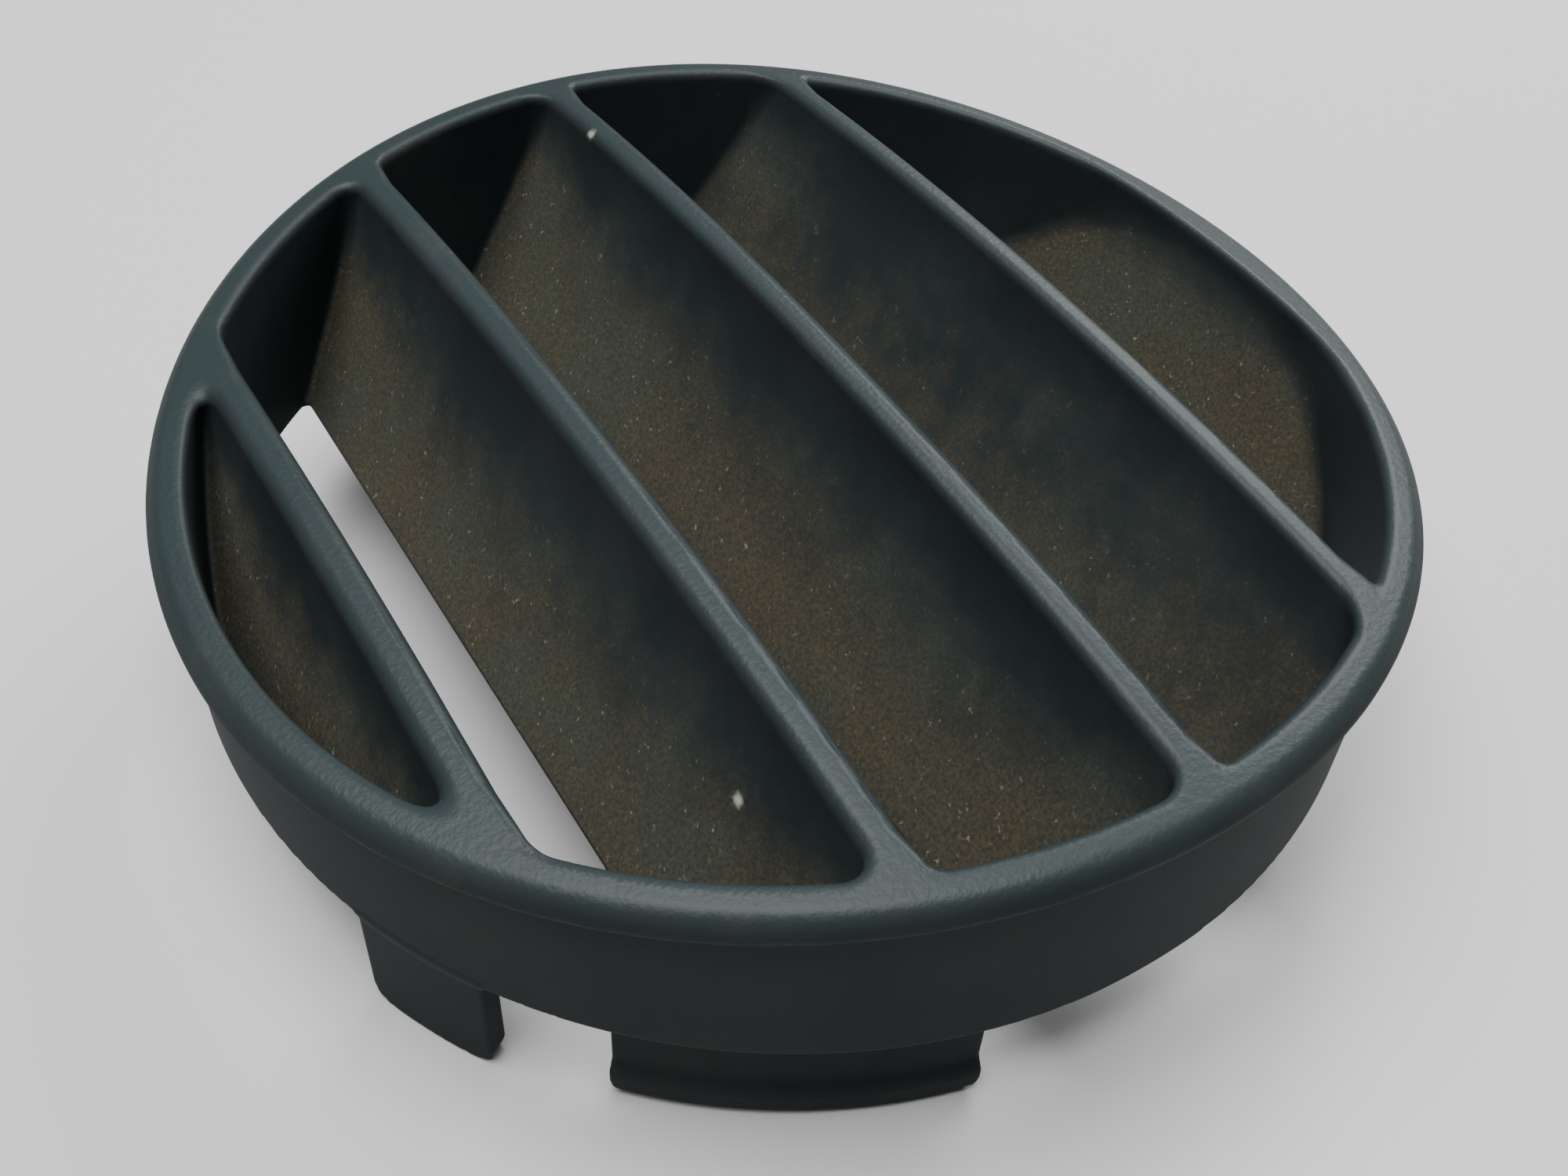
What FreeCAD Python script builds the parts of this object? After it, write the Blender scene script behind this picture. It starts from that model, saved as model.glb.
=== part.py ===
"""Round domed air diffuser insert, in millimetres.

A face ring and four louvre noses share one shallow barrel-shaped crown. Under them a collar holds
five slanted louvres, and two snap hooks and two locating lugs hang from the collar's lower edge.
X runs across the louvres, Y along them and Z up. The origin is the centre of the circle that the
hooks and lugs stand on.
"""
import FreeCAD, Part
import Sketcher
import os
from math import pi
from FreeCAD import Placement, Rotation, Vector

DIMENSIONS = {
    "rim_radius": 32.5,       # outside of the face ring
    "ring_depth": 1.9,        # crown down to the ring's underside
    "ring_round": 0.95,       # outer top edge of the ring
    "inner_round": 0.6,       # inner top edge of the ring
    "under_bevel": 0.75,      # outer lower edge of the ring
    "collar_radius": 31.75,   # outside of the collar
    "collar_wall": 1.35,
    "collar_rise": 14.0,      # collar's lower edge to the top of the crown
    "cross_camber": 115.5,    # crown radius across the louvres
    "along_camber": 273.0,    # crown radius along the louvres
    "nose_width": 1.95,       # louvre thickness at the crown
    "nose_round": 0.6,        # rounded upper edge of a louvre, on its hollow side
    "back_round": 0.9,        # rounded upper edge of a louvre, on its back
    "heel_drop": 0.3,         # back's upright part below the front's
    "neck_drop": 1.8,         # where the nose has thinned to the vane
    "vane_wall": 1.2,         # slanted vane
    "nose_depth": 0.95,       # crown to the foot of a louvre's upright part, at the collar
    "first_gap": 5.785,       # collar's inner wall to the first louvre's middle
    "last_gap": 14.565,       # last full louvre's middle to the opposite wall
    "pitch_step": 0.48,       # growth of each pitch over the last
    "end_bury": 0.425,        # end louvre's middle behind the collar's inner wall
    "lean_top": 22.0,         # louvre's lean from upright under its nose, degrees
    "lean_radius": 48.0,      # hollow face of a louvre
    "tab_drop": 7.0,          # hooks and lugs below the collar
    "hook_angle": 33.0,       # width of a hook around the axis, degrees
    "hook_bearing": -119.5,   # middle of the first hook, degrees from +X
    "hook_wall": 1.3,
    "hook_inset": 1.25,       # collar's outside to the hook's groove
    "groove_height": 4.6,     # collar's lower edge to the hook's lip
    "lip_depth": 0.5,         # how far the lip stands out of the groove
    "lip_slope": 0.8,
    "lead_in": 0.7,
    "root_height": 1.0,       # pad inside the collar that carries a hook
    "lug_angle": 13.2,        # width of a lug around the axis, degrees
    "lug_bearing": -152.9,    # middle of the first lug, degrees from +X
    "tab_corner": 1.2,        # rounded lower corners of hooks and lugs
}
LOUVRES = 4
TABS = 2                      # hooks, and lugs, evenly spaced around the axis
SWING = 26.0                  # angle of the crown's turned blanks, degrees
MARGIN = 8.0                  # how far a cutting blank runs past what it cuts
CLOSE = 1e-3                  # distance that counts as none when edges are looked up
LEAST_EDGE = 1.0              # shorter edges are left sharp

CROWN = "(dims.tab_drop + dims.collar_rise)"
CAMBER_AXIS = f"({CROWN} - dims.along_camber)"
COLLAR_INNER = "(dims.collar_radius - dims.collar_wall)"
GROOVE_RADIUS = "(dims.collar_radius - dims.hook_inset)"
HOOK_INNER = f"({GROOVE_RADIUS} - dims.hook_wall)"

doc = FreeCAD.newDocument("air_diffuser")
dims = doc.addObject("Spreadsheet::Sheet", "dims")
for row, (word, number) in enumerate(DIMENSIONS.items(), start=1):
    dims.set(f"A{row}", word)
    dims.set(f"B{row}", str(number))
    dims.setAlias(f"B{row}", word)
doc.recompute()


def value(expression):
    """Number that an expression on the sheet gives."""
    found = dims.evalExpression(expression)
    return float(getattr(found, "Value", found))


def bind(thing, **properties):
    """Tie properties to expressions; a double underscore stands for a dot."""
    for path, expression in properties.items():
        thing.setExpression(path.replace("__", "."), expression)
    return thing


def cylinder(name, radius, height, base):
    """Upright cylinder on the axis."""
    return bind(
        doc.addObject("Part::Cylinder", name),
        Radius=radius, Height=height, Placement__Base__z=base,
    )


def boolean(kind, name, base, tool):
    """Cut or Common of two objects."""
    made = doc.addObject(f"Part::{kind}", name)
    made.Base = base
    made.Tool = tool
    return made


def rounded(name, base, radius, wanted, kind="Fillet"):
    """Fillet or Chamfer on the edges of base that the test accepts."""
    doc.recompute()
    made = doc.addObject(f"Part::{kind}", name)
    made.Base = base
    size = value(radius)
    chosen = [i for i, edge in enumerate(base.Shape.Edges, start=1) if wanted(edge)]
    made.Edges = [(i, size, size) for i in chosen]
    return made


def origin_plane(body, role):
    """One of a body's own origin planes."""
    return next(f for f in body.Origin.OriginFeatures if f.Role == role)


def outline(body, name, corners, lift="0", arcs=None):
    """Closed sketch on the body's XZ plane, lifted along Z.

    corners are pairs of expressions. arcs maps a side's index to its radius and to the side of the
    chord, +1 or -1, that its centre lies on.
    """
    arcs = arcs or {}
    sketch = body.newObject("Sketcher::SketchObject", name)
    sketch.AttachmentSupport = [(origin_plane(body, "XZ_Plane"), "")]
    sketch.MapMode = "FlatFace"
    sketch.setExpression("AttachmentOffset.Base.y", lift)
    points = [Vector(value(x), value(y), 0) for x, y in corners]
    count = len(points)
    starts, ends = [], []
    for side in range(count):
        first, second = points[side], points[(side + 1) % count]
        if side not in arcs:
            sketch.addGeometry(Part.LineSegment(first, second))
            starts.append(1)
            ends.append(2)
            continue
        radius = value(arcs[side][0])
        chord = second - first
        normal = Vector(-chord.y, chord.x, 0).normalize() * arcs[side][1]
        reach = (radius ** 2 - (chord.Length / 2) ** 2) ** 0.5
        centre = (first + second) / 2 + normal * reach
        circle = Part.Circle(centre, Vector(0, 0, 1), radius)
        begin, finish = circle.parameter(first), circle.parameter(second)
        forward = (finish - begin) % (2 * pi) < pi
        if not forward:
            begin, finish = finish, begin
        sketch.addGeometry(Part.ArcOfCircle(circle, begin, finish if finish > begin else finish + 2 * pi))
        starts.append(1 if forward else 2)
        ends.append(2 if forward else 1)
    for side in range(count):
        after = (side + 1) % count
        sketch.addConstraint(Sketcher.Constraint("Coincident", side, ends[side], after, starts[after]))
    for side, (across, up) in enumerate(corners):
        for kind, tag, expression in (("DistanceX", "across", across), ("DistanceY", "up", up)):
            rule = Sketcher.Constraint(kind, -1, 1, side, starts[side], value(expression))
            number = sketch.addConstraint(rule)
            sketch.renameConstraint(number, f"{tag}_{side}")
            sketch.setExpression(f"Constraints.{tag}_{side}", expression)
    for side, (radius, _) in arcs.items():
        number = sketch.addConstraint(Sketcher.Constraint("Radius", side, value(radius)))
        sketch.renameConstraint(number, f"bend_{side}")
        sketch.setExpression(f"Constraints.bend_{side}", radius)
    return sketch


def turned(name, corners, axis, angle, lift="0", arcs=None):
    """Body turned from an outline, half of its angle to each side of the XZ plane."""
    body = doc.addObject("PartDesign::Body", name)
    sketch = outline(body, f"{name}_outline", corners, lift, arcs)
    turn = body.newObject("PartDesign::Revolution", f"{name}_turn")
    turn.Profile = sketch
    turn.ReferenceAxis = (sketch, [axis])
    turn.Midplane = True
    turn.setExpression("Angle", angle)
    body.Tip = turn
    return body


def crown_blank(name, depth):
    """Everything under the crown, or under a copy of it sunk by depth."""
    reach = f"(dims.rim_radius + {MARGIN})"
    radius = f"(dims.cross_camber - {depth})"
    edge = f"(dims.along_camber - dims.cross_camber + sqrt({radius}^2 - {reach}^2))"
    floor = f"(dims.along_camber - {CROWN} - {MARGIN})"
    corners = [(f"-{reach}", floor), (reach, floor), (reach, edge), (f"-{reach}", edge)]
    return turned(name, corners, "H_Axis", str(SWING), CAMBER_AXIS, {2: (radius, 1)})


def louvre_blank(name, across):
    """One louvre's section, an upright nose that thins into a hollow vane, drawn out along Y."""
    left = f"({across} - dims.nose_width / 2)"
    right = f"({across} + dims.nose_width / 2)"
    crown = f"({CROWN} - dims.cross_camber + sqrt(dims.cross_camber^2 - {across}^2))"
    fall = f"(({COLLAR_INNER}^2 - {across}^2) / (2 * dims.along_camber))"
    top = f"({CROWN} + {MARGIN})"
    foot = f"({crown} - {fall} - dims.nose_depth)"
    centre_x = f"({left} - dims.lean_radius * cos(dims.lean_top))"
    centre_z = f"({foot} + dims.lean_radius * sin(dims.lean_top))"
    outer = "(dims.lean_radius + dims.vane_wall)"
    heel = f"({foot} - dims.heel_drop)"
    neck = f"({foot} - dims.neck_drop)"
    neck_x = f"({centre_x} + sqrt({outer}^2 - ({neck} - {centre_z})^2))"
    end = "(dims.tab_drop)"
    face_end = f"({centre_x} + sqrt(dims.lean_radius^2 - ({end} - {centre_z})^2))"
    back_end = f"({centre_x} + sqrt({outer}^2 - ({end} - {centre_z})^2))"
    corners = [
        (left, top), (left, foot), (face_end, end), (back_end, end),
        (neck_x, neck), (right, heel), (right, top),
    ]
    body = doc.addObject("PartDesign::Body", name)
    arcs = {1: ("dims.lean_radius", -1), 3: (outer, 1)}
    sketch = outline(body, f"{name}_outline", corners, arcs=arcs)
    pad = body.newObject("PartDesign::Pad", f"{name}_pad")
    pad.Profile = sketch
    pad.Midplane = True
    pad.setExpression("Length", "2 * dims.rim_radius")
    body.Tip = pad
    return body


def tab(name, corners, angle, bearing, copy):
    """Body turned about the Z axis and set at its bearing."""
    body = turned(name, corners, "V_Axis", angle)
    body.Placement = Placement(Vector(0, 0, 0), Rotation(Vector(0, 0, 1), 0))
    body.setExpression("Placement.Rotation.Angle", f"{bearing} + {copy} * 360 / {TABS}")
    return body


def low_corner(edge):
    """Whether an edge runs in from a lower corner of a hook or lug."""
    box = edge.BoundBox
    return box.ZMax < CLOSE and edge.Curve.TypeId == "Part::GeomLine"


def louvre_across(number):
    """Nose line of a louvre, counted from 0."""
    if number == LOUVRES:
        return f"({COLLAR_INNER} + dims.end_bury)"
    gaps = LOUVRES - 1
    span = f"(2 * {COLLAR_INNER} - dims.first_gap - dims.last_gap)"
    pitch = f"({span} / {gaps} - {(gaps - 1) / 2} * dims.pitch_step)"
    growth = number * (number - 1) / 2
    return f"(dims.first_gap - {COLLAR_INNER} + {number} * {pitch} + {growth} * dims.pitch_step)"


def on_nose(across, side):
    """Test for a louvre's upper edge on its hollow side, -1, or its back, +1."""
    place = value(across) + side * value("dims.nose_width") / 2

    def test(edge):
        box = edge.BoundBox
        upright_plane = box.XLength < CLOSE and abs(box.Center.x - place) < CLOSE
        return upright_plane and edge.Curve.TypeId != "Part::GeomLine"
    return test


parts = []


def keep(thing, label):
    """Name a finished sub-part."""
    thing.Label = label
    parts.append(thing)


crown = crown_blank("crown_blank", "0")
seat = crown_blank("seat_blank", "dims.ring_depth")
bore = cylinder("bore_blank", COLLAR_INNER, CROWN, "0")

# face ring
ring_disc = cylinder("ring_disc", "dims.rim_radius", CROWN, "0")
ring_top = boolean("Common", "ring_top", ring_disc, crown)
ring_band = boolean("Cut", "ring_band", ring_top, seat)
ring_open = boolean("Cut", "ring_open", ring_band, bore)


def on_radius(edge, radius, top):
    """Whether an edge lies on a cylinder about the axis, and on the ring's upper or lower side."""
    point = edge.valueAt((edge.FirstParameter + edge.LastParameter) / 2)
    away = (point.x ** 2 + point.y ** 2) ** 0.5
    crown_here = value(CROWN) - point.x ** 2 / (2 * value("dims.cross_camber"))
    crown_here -= point.y ** 2 / (2 * value("dims.along_camber"))
    upper = crown_here - point.z < value("dims.ring_depth") / 2
    return abs(away - radius) < CLOSE and upper == top and edge.Length > LEAST_EDGE


outer_round = rounded("ring_outer_round", ring_open, "dims.ring_round",
                      lambda edge: on_radius(edge, value("dims.rim_radius"), True))
inner_round = rounded("ring_inner_round", outer_round, "dims.inner_round",
                      lambda edge: on_radius(edge, value(COLLAR_INNER), True))
under_bevel = rounded("ring_under_bevel", inner_round, "dims.under_bevel",
                      lambda edge: on_radius(edge, value("dims.rim_radius"), False), "Chamfer")
keep(under_bevel, "face_ring")

# collar
collar_disc = cylinder("collar_disc", "dims.collar_radius", "dims.collar_rise", "dims.tab_drop")
collar_tube = boolean("Cut", "collar_tube", collar_disc, bore)
keep(boolean("Common", "collar_cut", collar_tube, seat), "collar")

# hooks, their roots and lugs
lip_radius = f"({GROOVE_RADIUS} + dims.lip_depth)"
lip_top = "(dims.tab_drop - dims.groove_height)"
roots = []
for copy in range(TABS):
    hook_outline = [
        (HOOK_INNER, "0"),
        (f"({lip_radius} - dims.lead_in / 2)", "0"),
        (lip_radius, "dims.lead_in"),
        (lip_radius, f"({lip_top} - dims.lip_slope)"),
        (GROOVE_RADIUS, lip_top),
        (GROOVE_RADIUS, "dims.tab_drop"),
        (HOOK_INNER, "dims.tab_drop"),
    ]
    hook = tab(f"hook_blank_{copy + 1}", hook_outline, "dims.hook_angle", "dims.hook_bearing", copy)
    keep(rounded(f"hook_{copy + 1}", hook, "dims.tab_corner", low_corner), f"snap_hook_{copy + 1}")

    root_top = "(dims.tab_drop + dims.root_height)"
    root_outline = [
        (HOOK_INNER, "dims.tab_drop"),
        (COLLAR_INNER, "dims.tab_drop"),
        (COLLAR_INNER, f"({root_top} + dims.hook_wall)"),
        (HOOK_INNER, root_top),
    ]
    root = tab(f"root_{copy + 1}", root_outline, "dims.hook_angle", "dims.hook_bearing", copy)
    roots.append(root)
    keep(root, f"hook_root_{copy + 1}")

    lug_outline = [
        (COLLAR_INNER, "0"),
        ("dims.collar_radius", "0"),
        ("dims.collar_radius", "dims.tab_drop"),
        (COLLAR_INNER, "dims.tab_drop"),
    ]
    lug = tab(f"lug_blank_{copy + 1}", lug_outline, "dims.lug_angle", "dims.lug_bearing", copy)
    keep(rounded(f"lug_{copy + 1}", lug, "dims.tab_corner", low_corner), f"locating_lug_{copy + 1}")

# louvres
inside = cylinder("inside_blank", COLLAR_INNER, "dims.collar_rise", "dims.tab_drop")
for number in range(LOUVRES + 1):
    word = "end_louvre" if number == LOUVRES else f"louvre_{number + 1}"
    across = louvre_across(number)
    shape = louvre_blank(f"{word}_blank", across)
    shape = boolean("Common", f"{word}_crowned", shape, crown)
    if number < LOUVRES:
        shape = rounded(f"{word}_nose", shape, "dims.nose_round", on_nose(across, -1))
        shape = rounded(f"{word}_back", shape, "dims.back_round", on_nose(across, 1))
    shape = boolean("Common", f"{word}_inside", shape, inside)
    for copy, root in enumerate(roots):
        shape = boolean("Cut", f"{word}_clear_{copy + 1}", shape, root)
    keep(shape, word)

doc.recompute()
for thing in doc.Objects:
    bad = {"Invalid", "Error"} & set(thing.State)
    if bad:
        raise RuntimeError(f"{thing.Name} is {sorted(bad)}")
for thing in parts:
    if thing.Shape.isNull() or not thing.Shape.isValid() or not thing.Shape.Solids:
        raise RuntimeError(f"{thing.Label} has no valid solid")

os.makedirs("parts", exist_ok=True)
for thing in parts:
    thing.Shape.exportStep(f"parts/{thing.Label}.step")
    box = thing.Shape.BoundBox
    print(thing.Label, len(thing.Shape.Solids), round(thing.Shape.Volume, 1),
          round(box.ZMin, 2), round(box.ZMax, 2))
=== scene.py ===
"""Looks of the round domed air diffuser insert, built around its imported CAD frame. Metres.

The real object is one moulding, so its outer skin is worked out as one distance field with soft
fillets, turned into a mesh, and then shared out between the pieces that stand for the CAD nodes.
"""

import math

import bpy
import numpy as np
from mathutils import Matrix, Vector


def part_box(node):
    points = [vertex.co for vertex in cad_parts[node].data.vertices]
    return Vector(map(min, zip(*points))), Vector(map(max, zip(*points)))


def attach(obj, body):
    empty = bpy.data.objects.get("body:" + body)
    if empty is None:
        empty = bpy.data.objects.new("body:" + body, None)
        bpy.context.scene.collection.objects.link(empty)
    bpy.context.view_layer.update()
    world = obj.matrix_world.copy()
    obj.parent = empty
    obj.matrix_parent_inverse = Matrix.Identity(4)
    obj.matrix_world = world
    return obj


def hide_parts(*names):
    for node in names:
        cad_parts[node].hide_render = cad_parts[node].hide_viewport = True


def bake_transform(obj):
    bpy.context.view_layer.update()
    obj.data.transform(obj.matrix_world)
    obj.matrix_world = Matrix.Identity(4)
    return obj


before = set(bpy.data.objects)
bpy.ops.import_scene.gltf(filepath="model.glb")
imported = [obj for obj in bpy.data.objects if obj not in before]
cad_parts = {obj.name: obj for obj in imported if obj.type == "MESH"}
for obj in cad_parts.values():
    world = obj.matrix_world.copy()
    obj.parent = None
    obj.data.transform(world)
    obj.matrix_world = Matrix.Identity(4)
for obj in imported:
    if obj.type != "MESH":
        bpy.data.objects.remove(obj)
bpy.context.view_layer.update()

# ---------------------------------------------------------------- sizes, in millimetres
MM = 0.001


def box_mm(node):
    """A node's lowest and highest corners, in millimetres."""
    low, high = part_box(node)
    return np.array(low) / MM, np.array(high) / MM


collar_low, collar_high = box_mm("collar")

RIM = box_mm("face_ring")[1][0]          # outside of the face ring
COLLAR = collar_high[0]                  # outside of the collar
WALL = 1.35
INNER = COLLAR - WALL
COLLAR_EDGE = collar_low[2]              # lower edge of the collar
CROWN = COLLAR_EDGE + 14.0               # top of the dome
CROSS_CAMBER, ALONG_CAMBER = 115.5, 273.0
RING_DEPTH = 1.5                         # face ring's outer band in the skin
CAD_RING_DEPTH = 1.9                     # where face_ring ends and collar begins
RIM_ROUND, BAND_ROUND = 0.95, 0.6        # upper and lower edges of the outer band
BAND_FILLET, EDGE_ROUND = 1.0, 0.3       # under the band, and at the collar's lower edge
NOSE, VANE = 1.95, 1.2                   # louvre thickness at the crown, and below its neck
NOSE_DEPTH = 0.95
FRONT_ROUND, BACK_ROUND = 0.6, 1.1       # upper edges of a louvre
HEEL_DROP, NECK_DROP = 0.3, 1.8          # where the back starts and stops thinning
LEAN_TOP = math.radians(22.0)
LEAN_RADIUS = 48.0
LEAN_EASE = 2.5                          # how softly a louvre's face turns under its nose
LOUVRES = ["louvre_1", "louvre_2", "louvre_3", "louvre_4", "end_louvre"]
HOOK_ANGLE, LUG_ANGLE = math.radians(33.0), math.radians(13.2)
HOOK_BEARING, LUG_BEARING = math.radians(-119.5), math.radians(-152.9)
GROOVE = COLLAR - 1.25
HOOK_INNER = GROOVE - 1.3
LIP_DEPTH, LIP_TOP, LIP_SLOPE, LEAD_IN = 0.5, COLLAR_EDGE - 4.6, 0.8, 0.7
ROOT_HEIGHT = 1.0
TAB_CORNER = 1.2
TOP_CORNER, DEEP_CORNER = 1.7, 0.45     # fillet from wall to louvre, at the crown and lower down
BACK_CORNER = 0.45                       # the same at the crown, behind a louvre's nose
CORNER_FADE = 4.0                        # depth over which that fillet shrinks
BURY = 0.3                               # how far a piece runs into the wall that holds it
VANE_ROUND = 0.35                        # lower edges of a vane
END_BEHIND = 0.425                       # end louvre's middle behind the inner wall

nose_lines = [box_mm(name)[1][0] - NOSE / 2 for name in LOUVRES[:4]] + [INNER + END_BEHIND]


# ---------------------------------------------------------------- distance field
def round_max(a, b, radius):
    """Intersection with a rounded outer edge."""
    return np.minimum(np.maximum(a, b), -radius) + np.hypot(
        np.maximum(a + radius, 0), np.maximum(b + radius, 0))


def round_min(a, b, radius):
    """Union with a hollow fillet."""
    return np.maximum(np.minimum(a, b), radius) - np.hypot(
        np.maximum(radius - a, 0), np.maximum(radius - b, 0))


def crown_height(x, y):
    """Height of the barrel-shaped dome."""
    across = np.sqrt(CROSS_CAMBER ** 2 - np.minimum(x ** 2, 0.25 * CROSS_CAMBER ** 2))
    return CROWN - ALONG_CAMBER + np.sqrt((ALONG_CAMBER - CROSS_CAMBER + across) ** 2 - y ** 2)


def over_crown(x, y, z):
    """Distance above the dome."""
    slope = np.hypot(x / CROSS_CAMBER, y / ALONG_CAMBER)
    return (z - crown_height(x, y)) / np.sqrt(1 + slope ** 2)


def walls(x, y, z):
    """Ring and collar, open upwards."""
    r = np.hypot(x, y)
    band = round_max(r - RIM, -over_crown(x, y, z) - RING_DEPTH, BAND_ROUND)
    outside = round_min(band, r - COLLAR, BAND_FILLET)
    return round_max(np.maximum(outside, INNER - r), COLLAR_EDGE - z, EDGE_ROUND)


def louvre(x, y, z, line):
    """One louvre, open upwards."""
    camber = math.sqrt(CROSS_CAMBER ** 2 - line ** 2)
    fall = (INNER ** 2 - line ** 2) / (2 * ALONG_CAMBER)
    depth = CROWN - CROSS_CAMBER + camber - fall - NOSE_DEPTH - z
    start = (np.maximum(depth, -LEAN_EASE) + LEAN_EASE) ** 2 / (4 * LEAN_EASE)
    eased = np.where(depth > LEAN_EASE, depth, start)
    lean = np.clip((eased + LEAN_RADIUS * math.sin(LEAN_TOP)) / LEAN_RADIUS, -0.9, 0.9)
    straight = np.sqrt(1 - lean ** 2)
    face = line - NOSE / 2 + LEAN_RADIUS * (straight - math.cos(LEAN_TOP))
    turn = np.clip((depth + LEAN_EASE) / (2 * LEAN_EASE), 0, 1)
    cosine = 1 - turn * (1 - straight)
    thinning = np.clip((depth - HEEL_DROP) / (NECK_DROP - HEEL_DROP), 0, 1)
    half = 0.5 * (NOSE - (NOSE - VANE) * thinning ** 2 * (3 - 2 * thinning))
    plate = np.abs((x - face) * cosine - half) - half
    inside = np.hypot(x, y) - INNER - BURY
    return np.maximum(round_max(plate, COLLAR_EDGE - z, VANE_ROUND), inside)


def sector(x, y, bearing, width):
    """Distance sideways out of a sector, and radius."""
    turned_x = x * math.cos(bearing) + y * math.sin(bearing)
    turned_y = -x * math.sin(bearing) + y * math.cos(bearing)
    r = np.hypot(x, y)
    angle = np.abs(np.arctan2(turned_y, turned_x))
    return (angle - width / 2) * np.maximum(r, 10), r


def hook_root(x, y, z, bearing):
    """Pad inside the collar that carries a hook."""
    side, r = sector(x, y, bearing, HOOK_ANGLE)
    pad = np.maximum(HOOK_INNER - r, r - INNER - BURY)
    top = (z - COLLAR_EDGE - ROOT_HEIGHT - (r - HOOK_INNER) * 0.87) * 0.75
    return round_max(round_max(np.maximum(pad, COLLAR_EDGE - z), top, 0.4), side, 0.3)


def lug(x, y, z, bearing):
    """Locating lug flush with the collar."""
    side, r = sector(x, y, bearing, LUG_ANGLE)
    wall = round_max(r - COLLAR + 0.05, INNER - r, 0.2)
    end = round_max(side, -z, TAB_CORNER)
    return round_max(wall, np.maximum(end, z - COLLAR_EDGE - 0.6), 0.2)


def hook(x, y, z, bearing):
    """Snap hook: a thin arm with a groove and an outward lip. Its top is buried in its root."""
    side, r = sector(x, y, bearing, HOOK_ANGLE)
    rise = np.clip((LIP_TOP - z) / LIP_SLOPE, 0, 1)
    lip = LIP_DEPTH * rise ** 2 * (3 - 2 * rise)
    lead = np.clip(1 - z / LEAD_IN, 0, 1) * LEAD_IN / 2
    outer = r - (GROOVE + lip - lead)
    wall = round_max(outer * 0.8, HOOK_INNER - r, 0.3)
    end = round_max(side, -z, TAB_CORNER)
    return np.maximum(round_max(wall, end, 0.25), z - COLLAR_EDGE - 0.9)


TURNS = (0.0, math.pi)


def behind_nose(x):
    """1 just behind a louvre's nose, 0 in front of it."""
    back = np.zeros(np.shape(x))
    for line in nose_lines[:4]:
        back = np.maximum(back, np.clip((x - line) / 0.4, 0, 1) * np.clip(4 - (x - line), 0, 1))
    return back


def nose_rounding(x, y):
    """Rounding under the crown: small on walls and on a nose's front, larger on its back."""
    clear_of_wall = np.clip((INNER - 0.5 - np.hypot(x, y)) / 1.5, 0, 1)
    return FRONT_ROUND + (BACK_ROUND - FRONT_ROUND) * behind_nose(x) * clear_of_wall


def moulding(x, y, z):
    """The whole fixed moulding."""
    slats = louvre(x, y, z, nose_lines[0])
    for line in nose_lines[1:]:
        slats = np.minimum(slats, louvre(x, y, z, line))
    above = over_crown(x, y, z)
    top_corner = TOP_CORNER + (BACK_CORNER - TOP_CORNER) * behind_nose(x)
    corner = DEEP_CORNER + (top_corner - DEEP_CORNER) * np.clip(1 + above / CORNER_FADE, 0, 1) ** 2
    solid = round_min(walls(x, y, z), slats, corner)
    solid = round_max(solid, above, nose_rounding(x, y))
    solid = np.maximum(solid, round_max(np.hypot(x, y) - RIM, above, RIM_ROUND))
    for turn in TURNS:
        solid = round_min(solid, hook_root(x, y, z, HOOK_BEARING + turn), 0.5)
        solid = round_min(solid, lug(x, y, z, LUG_BEARING + turn), 0.3)
    return solid


# ---------------------------------------------------------------- meshing
def surface_net(field, low, high, step):
    """Points and quads of the field's zero surface inside a box."""
    axes = [np.arange(a - 2 * step, b + 3 * step, step) for a, b in zip(low, high)]
    shape = [len(a) for a in axes]
    values = np.empty(shape, np.float32)
    for i, x in enumerate(axes[0]):
        values[i] = field(x, axes[1][:, None], axes[2][None, :])
    inside = values < 0
    corners = [(i, j, k) for i in (0, 1) for j in (0, 1) for k in (0, 1)]
    cut = [slice(0, n - 1) for n in shape]

    def shifted(array, corner):
        return array[tuple(slice(c, n - 1 + c) for c, n in zip(corner, shape))]

    count = sum(shifted(inside, c).astype(np.int8) for c in corners)
    cells = np.argwhere((count > 0) & (count < 8))
    number = np.full([n - 1 for n in shape], -1, np.int32)
    number[tuple(cells.T)] = np.arange(len(cells))
    total = np.zeros((len(cells), 3))
    hits = np.zeros(len(cells))
    for a in corners:
        for axis in range(3):
            if a[axis]:
                continue
            b = tuple(1 if n == axis else a[n] for n in range(3))
            va = values[tuple((cells + a).T)]
            vb = values[tuple((cells + b).T)]
            crossed = (va < 0) != (vb < 0)
            share = np.where(crossed, va / np.where(crossed, va - vb, 1), 0)
            point = np.array(a, float) + share[:, None] * (np.array(b) - np.array(a))
            total += point * crossed[:, None]
            hits += crossed
    points = (cells + total / hits[:, None]) * step + np.array([a[0] for a in axes])
    quads = []
    for axis in range(3):
        near, far = [slice(1, n - 1) for n in shape], [slice(1, n - 1) for n in shape]
        near[axis], far[axis] = slice(0, shape[axis] - 1), slice(1, shape[axis])
        a, b = inside[tuple(near)], inside[tuple(far)]
        crossing = np.argwhere(a != b)
        offset = np.ones(3, int)
        offset[axis] = 0
        base = crossing + offset
        leaving = a[tuple(crossing.T)]
        u, v = np.zeros(3, int), np.zeros(3, int)
        u[(axis + 1) % 3], v[(axis + 2) % 3] = 1, 1
        ring = [number[tuple((base - shift).T)] for shift in (u + v, v, 0 * u, u)]
        face = np.stack(ring, 1)
        face[~leaving] = face[~leaving][:, ::-1]
        quads.append(face)
    return points, np.concatenate(quads)


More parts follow.
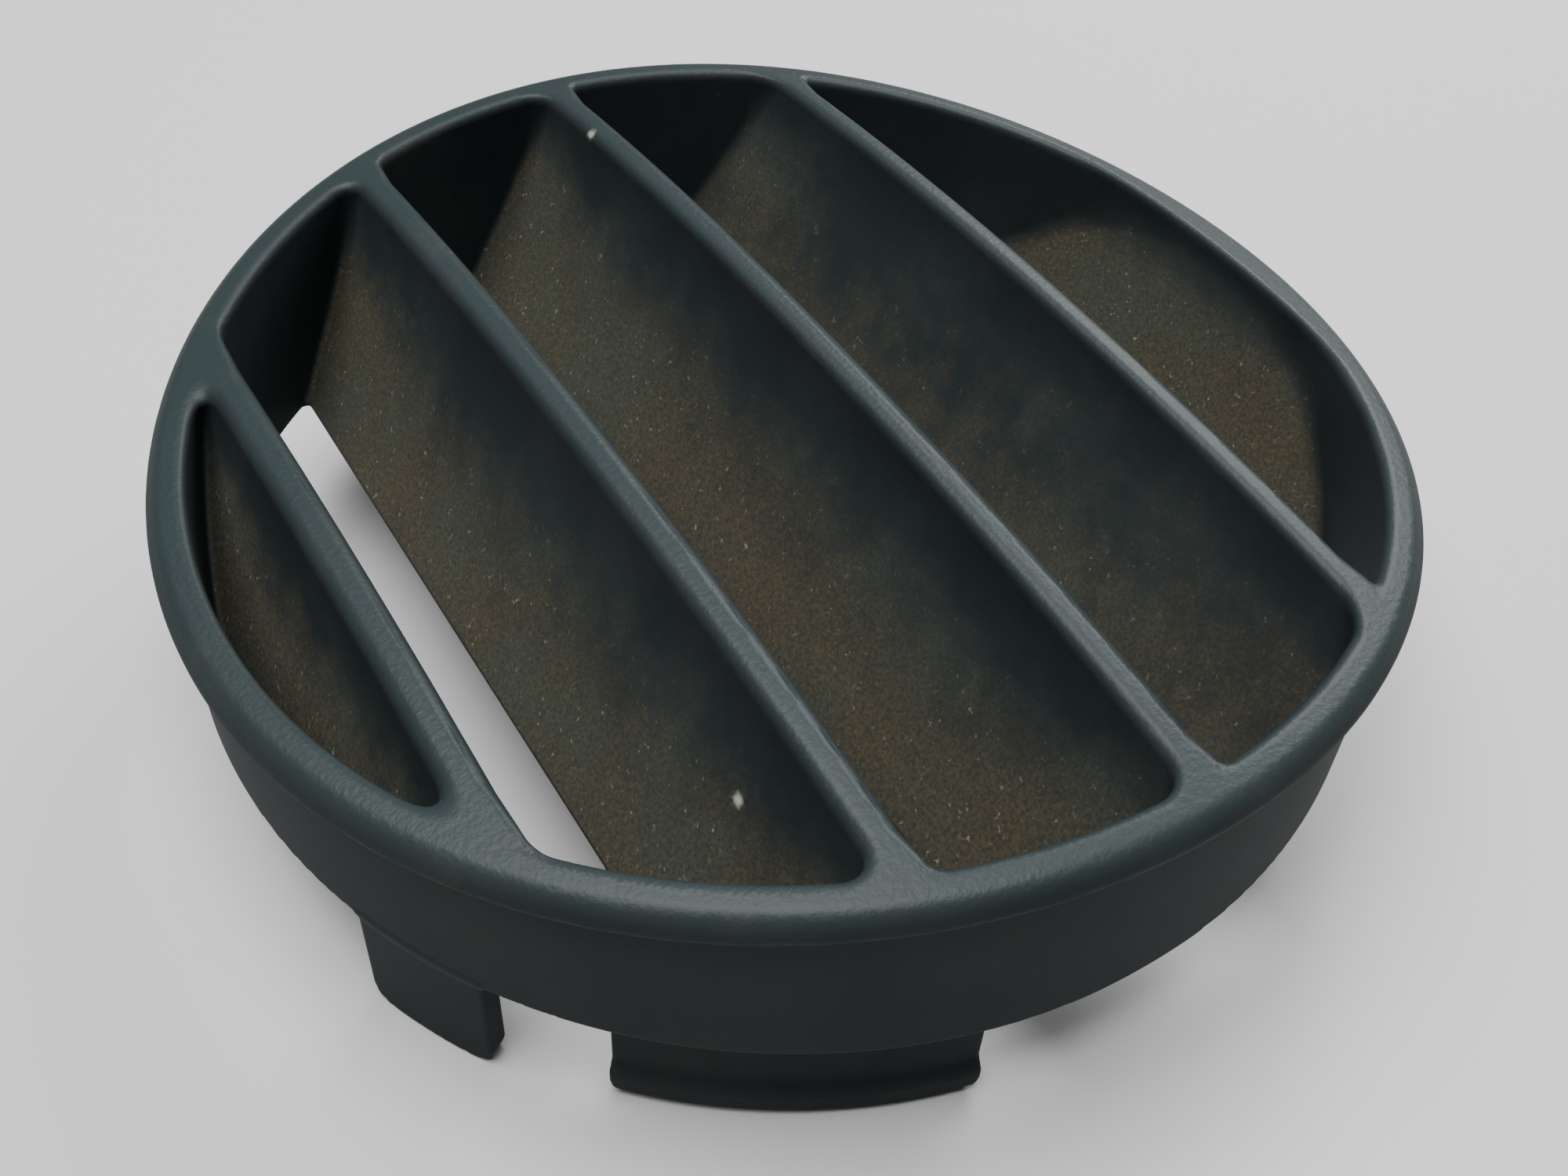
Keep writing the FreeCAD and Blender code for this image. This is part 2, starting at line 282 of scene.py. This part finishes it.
def gradient(field, points, step=0.02):
    """Unit normals of the field at points."""
    slopes = []
    for axis in range(3):
        shift = np.zeros(3)
        shift[axis] = step
        ahead, behind = points + shift, points - shift
        slopes.append((field(*ahead.T) - field(*behind.T)) / (2 * step))
    slopes = np.stack(slopes, 1)
    return slopes / np.maximum(np.linalg.norm(slopes, axis=1, keepdims=True), 1e-9)


def settle(field, points, rounds=3):
    """Pull points onto the zero surface."""
    for _ in range(rounds):
        distance = field(*points.T)
        points = points - gradient(field, points) * np.clip(distance, -0.15, 0.15)[:, None]
    return points


# ---------------------------------------------------------------- materials
def nodes_of(material):
    """An empty node tree with an output and a Principled shader."""
    material.use_nodes = True
    tree = material.node_tree
    tree.nodes.clear()
    output = tree.nodes.new("ShaderNodeOutputMaterial")
    shader = tree.nodes.new("ShaderNodeBsdfPrincipled")
    tree.links.new(shader.outputs["BSDF"], output.inputs["Surface"])
    return tree, shader


def noise(tree, scale, detail=2.0, rough=0.5, where=None):
    """Noise over the object's own coordinates, in cycles per metre."""
    node = tree.nodes.new("ShaderNodeTexNoise")
    node.inputs["Scale"].default_value = scale
    node.inputs["Detail"].default_value = detail
    node.inputs["Roughness"].default_value = rough
    if where is None:
        where = tree.nodes.new("ShaderNodeTexCoord").outputs["Object"]
    tree.links.new(where, node.inputs["Vector"])
    return node.outputs["Fac"]


def remap(tree, socket, low, high, start=0.0, end=1.0):
    """Smooth step from low to high."""
    node = tree.nodes.new("ShaderNodeMapRange")
    node.interpolation_type = "SMOOTHSTEP"
    for name, number in (("From Min", low), ("From Max", high), ("To Min", start), ("To Max", end)):
        node.inputs[name].default_value = number
    tree.links.new(socket, node.inputs["Value"])
    return node.outputs["Result"]


def maths(tree, operation, a, b):
    """One Math node on sockets or numbers."""
    node = tree.nodes.new("ShaderNodeMath")
    node.operation = operation
    for place, term in enumerate((a, b)):
        if isinstance(term, (int, float)):
            node.inputs[place].default_value = term
        else:
            tree.links.new(term, node.inputs[place])
    return node.outputs[0]


def mixed(tree, factor, a, b):
    """Mix of two colours, each a socket or three numbers."""
    node = tree.nodes.new("ShaderNodeMix")
    node.data_type = "RGBA"
    tree.links.new(factor, node.inputs["Factor"])
    for socket, colour in ((node.inputs[6], a), (node.inputs[7], b)):
        if isinstance(colour, tuple):
            socket.default_value = (*colour, 1.0)
        else:
            tree.links.new(colour, socket)
    return node.outputs[2]


def attribute(tree, name):
    """A value stored on the mesh's points."""
    node = tree.nodes.new("ShaderNodeAttribute")
    node.attribute_name = name
    return node.outputs["Fac"]


def moulded_plastic():
    """Charcoal moulded plastic with a fine spark-eroded grain, dust in its hollows, and rubbed edges
    whose lighter colour on the up-facing crown tops is partly painted highlight.
    """
    material = bpy.data.materials.new("moulded_plastic")
    tree, shader = nodes_of(material)
    dust_depth, edge = attribute(tree, "dust"), attribute(tree, "edge")
    blotch = noise(tree, 120.0, 4.0, 0.6)
    mottle = noise(tree, 420.0, 4.0, 0.65)
    speck = noise(tree, 4600.0, 3.0, 0.7)
    crumb = noise(tree, 1900.0, 2.0, 0.5)
    grain = noise(tree, 3100.0, 2.0, 0.55)

    base = mixed(tree, remap(tree, blotch, 0.35, 0.65), (0.009, 0.014, 0.015), (0.013, 0.018, 0.019))
    # rubbed wear and painted highlight: the up-facing crown tops get a lighter colour
    worn_and_lit = mixed(tree, edge, base, (0.018, 0.027, 0.028))
    patches = maths(tree, "SUBTRACT", blotch, 0.5)
    spots = maths(tree, "MULTIPLY", maths(tree, "SUBTRACT", mottle, 0.5), 0.9)
    patchy = maths(tree, "ADD", patches, spots)
    film = remap(tree, maths(tree, "ADD", dust_depth, patchy), 0.0, 1.0)
    tint = mixed(tree, remap(tree, blotch, 0.40, 0.62), (0.054, 0.045, 0.027), (0.044, 0.045, 0.030))
    fluff = maths(tree, "MULTIPLY", film, remap(tree, speck, 0.34, 0.66, 0.35, 1.0))
    dusty = mixed(tree, fluff, worn_and_lit, tint)
    crumbs = remap(tree, maths(tree, "MULTIPLY", speck, crumb), 0.37, 0.46)
    pale = maths(tree, "MULTIPLY", crumbs, film)
    colour = mixed(tree, pale, dusty, (0.150, 0.140, 0.110))
    colour = mixed(tree, attribute(tree, "fleck"), colour, (0.350, 0.345, 0.300))
    tree.links.new(colour, shader.inputs["Base Color"])

    matt = remap(tree, edge, 0.0, 1.0, 0.75, 0.42)
    rough = maths(tree, "ADD", matt, maths(tree, "MULTIPLY", film, 0.2))
    tree.links.new(rough, shader.inputs["Roughness"])
    shader.inputs["Specular IOR Level"].default_value = 0.2

    bump = tree.nodes.new("ShaderNodeBump")
    bump.inputs["Strength"].default_value = 0.8
    bump.inputs["Distance"].default_value = 0.00004
    pebbles = maths(tree, "MULTIPLY", grain, remap(tree, edge, 0.0, 0.6, 0.35, 1.0))
    fluff_height = maths(tree, "MULTIPLY", maths(tree, "MULTIPLY", speck, film), 0.8)
    height = maths(tree, "ADD", pebbles, fluff_height)
    tree.links.new(height, bump.inputs["Height"])
    tree.links.new(bump.outputs["Normal"], shader.inputs["Normal"])
    return material


# ---------------------------------------------------------------- pieces
STEP, HOOK_STEP = 0.25, 0.2              # mesh spacing
CLEANER, CLEANER_SHARE = (6.5, 16.0), 0.62  # louvre_4's reach across, and its share of the dust
FLECKS = [((0.9, 24.2, 19.7), 0.24), ((-14.1, -19.0, 14.6), 0.26)]
plastic = moulded_plastic()


def finish_values(points, normals):
    """How dusty and how rubbed each point is, from 0 to 1; the rubbed value also paints the up-facing
    crown tops lighter as painted highlight.
    """
    x, y, z = points.T
    r = np.hypot(x, y)
    below = crown_height(x, y) - z
    in_bowl = np.clip((INNER + 0.4 - r) / 0.3, 0, 1)
    corner = np.clip((r - 19.0) / 10.0, 0, 1)
    depth = np.clip((below - 3.0 + 2.0 * corner) / (8.0 - 3.5 * corner), 0, 1)
    facing = np.clip(normals[:, 2] * 2.5 - 0.1, 0, 1) * np.clip(0.35 - normals[:, 0], 0, 1)
    cleaner = (x > CLEANER[0]) & (x < CLEANER[1])
    dust = np.clip(in_bowl * depth * facing, 0, 1) * np.where(cleaner, CLEANER_SHARE, 1.0)
    # up-facing tops near the crown: rubbed wear, and in the colour a painted highlight too
    edge = np.clip(1 - below / 0.9, 0, 1) * np.clip(normals[:, 2], 0, 1)
    fleck = np.zeros(len(points))
    for place, size in FLECKS:
        fleck = np.maximum(fleck, np.clip(1.5 - np.linalg.norm(points - place, axis=1) / size, 0, 1))
    return {"dust": dust, "edge": edge, "fleck": fleck}


def add_mesh(name, points, quads, normals, finish):
    """Mesh object in metres with its own smooth normals and finish values."""
    used, compact = np.unique(quads, return_inverse=True)
    compact = compact.reshape(quads.shape)
    mesh = bpy.data.meshes.new(name)
    mesh.from_pydata((points[used] * MM).tolist(), [], compact.tolist())
    mesh.polygons.foreach_set("use_smooth", np.ones(len(quads), bool))
    mesh.normals_split_custom_set_from_vertices(normals[used].tolist())
    for word, numbers in finish.items():
        layer = mesh.attributes.new(word, "FLOAT", "POINT")
        layer.data.foreach_set("value", numbers[used].astype(np.float32))
    mesh.materials.append(plastic)
    mesh.update()
    made = bpy.data.objects.new(name, mesh)
    bpy.context.scene.collection.objects.link(made)
    return made


def owner_of(points):
    """Which CAD node each point of the moulding belongs to."""
    x, y, z = points.T
    slats = [louvre(x, y, z, line) for line in nose_lines]
    wall = walls(x, y, z)
    pads = [hook_root(x, y, z, HOOK_BEARING + turn) for turn in TURNS]
    lugs = [lug(x, y, z, LUG_BEARING + turn) for turn in TURNS]
    names = LOUVRES + ["wall", "hook_root_1", "hook_root_2", "locating_lug_1", "locating_lug_2"]
    nearest = np.argmin(np.stack(slats + [wall] + pads + lugs), axis=0)
    owner = np.array(names, dtype=object)[nearest]
    is_ring = over_crown(x, y, z) > -CAD_RING_DEPTH
    owner[(owner == "wall") & is_ring] = "face_ring"
    owner[owner == "wall"] = "collar"
    return owner


def make_moulding():
    """The fixed members, all cut from one skin so that no seam shows."""
    low, high = (-RIM, -RIM, 0.0), (RIM, RIM, CROWN)
    points, quads = surface_net(moulding, low, high, STEP)
    points = settle(moulding, points)
    normals = gradient(moulding, points)
    finish = finish_values(points, normals)
    owner = owner_of(points[quads].mean(axis=1))
    for name in sorted(set(owner)):
        piece = add_mesh(f"{name}_skin", points, quads[owner == name], normals, finish)
        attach(piece, "root")
        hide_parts(name)


def make_hook(number, bearing):
    """A snap hook, meshed from its own field."""
    def field(x, y, z):
        return hook(x, y, z, bearing)
    low, high = box_mm(f"snap_hook_{number}")
    points, quads = surface_net(field, low - 1.0, high + 2.0, HOOK_STEP)
    points = settle(field, points)
    normals = gradient(field, points)
    clean = {word: np.zeros(len(points)) for word in ("dust", "edge", "fleck")}
    piece = add_mesh(f"snap_hook_{number}_skin", points, quads, normals, clean)
    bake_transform(piece)
    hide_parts(f"snap_hook_{number}")


make_moulding()
for number, turn in enumerate(TURNS, start=1):
    make_hook(number, HOOK_BEARING + turn)


# ---------------------------------------------------------------- floor, light and camera
def plain(name, colour, rough):
    """A plain stage material."""
    material = bpy.data.materials.new(name)
    _, shader = nodes_of(material)
    shader.inputs["Base Color"].default_value = (*colour, 1.0)
    shader.inputs["Roughness"].default_value = rough
    return material


def make_floor():
    """A wide pale floor."""
    mesh = bpy.data.meshes.new("floor")
    half = 1.5
    corners = [(-half, -half, 0), (half, -half, 0), (half, half, 0), (-half, half, 0)]
    mesh.from_pydata(corners, [], [(0, 1, 2, 3)])
    floor = bpy.data.objects.new("floor", mesh)
    mesh.materials.append(plain("floor_paper", (0.52, 0.52, 0.52), 0.8))
    bpy.context.scene.collection.objects.link(floor)


def area_light(name, place, size, power, target=(0, 0, 0.012)):
    """A square soft light that points at the object."""
    data = bpy.data.lights.new(name, "AREA")
    data.size = size
    data.energy = power
    lamp = bpy.data.objects.new(name, data)
    lamp.location = place
    lamp.rotation_euler = (Vector(target) - Vector(place)).to_track_quat("-Z", "Y").to_euler()
    bpy.context.scene.collection.objects.link(lamp)


def make_world(strength):
    """Even white surroundings."""
    world = bpy.data.worlds.new("studio")
    world.use_nodes = True
    background = world.node_tree.nodes["Background"]
    background.inputs["Color"].default_value = (1, 1, 1, 1)
    background.inputs["Strength"].default_value = strength
    bpy.context.scene.world = world


def make_camera():
    """The close-up camera."""
    data = bpy.data.cameras.new("camera")
    data.lens, data.sensor_width = 40.16, 36.0
    data.clip_start, data.clip_end = 0.005, 10.0
    camera = bpy.data.objects.new("camera", data)
    place = Vector((-38.68, -58.11, 76.51)) * MM
    aim = Vector((-9.08, -14.09, 21.0)) * MM
    roll = math.radians(3.48)
    look = (aim - place).to_track_quat("-Z", "Y").to_matrix().to_4x4()
    camera.matrix_world = Matrix.Translation(place) @ look @ Matrix.Rotation(roll, 4, "Z")
    bpy.context.scene.collection.objects.link(camera)
    bpy.context.scene.camera = camera


make_floor()
make_world(0.10)
area_light("key", (-0.08, 0.02, 0.46), 0.36, 4.8)
area_light("sheen", (0.295, 0.15, 0.26), 0.24, 1.7)
make_camera()
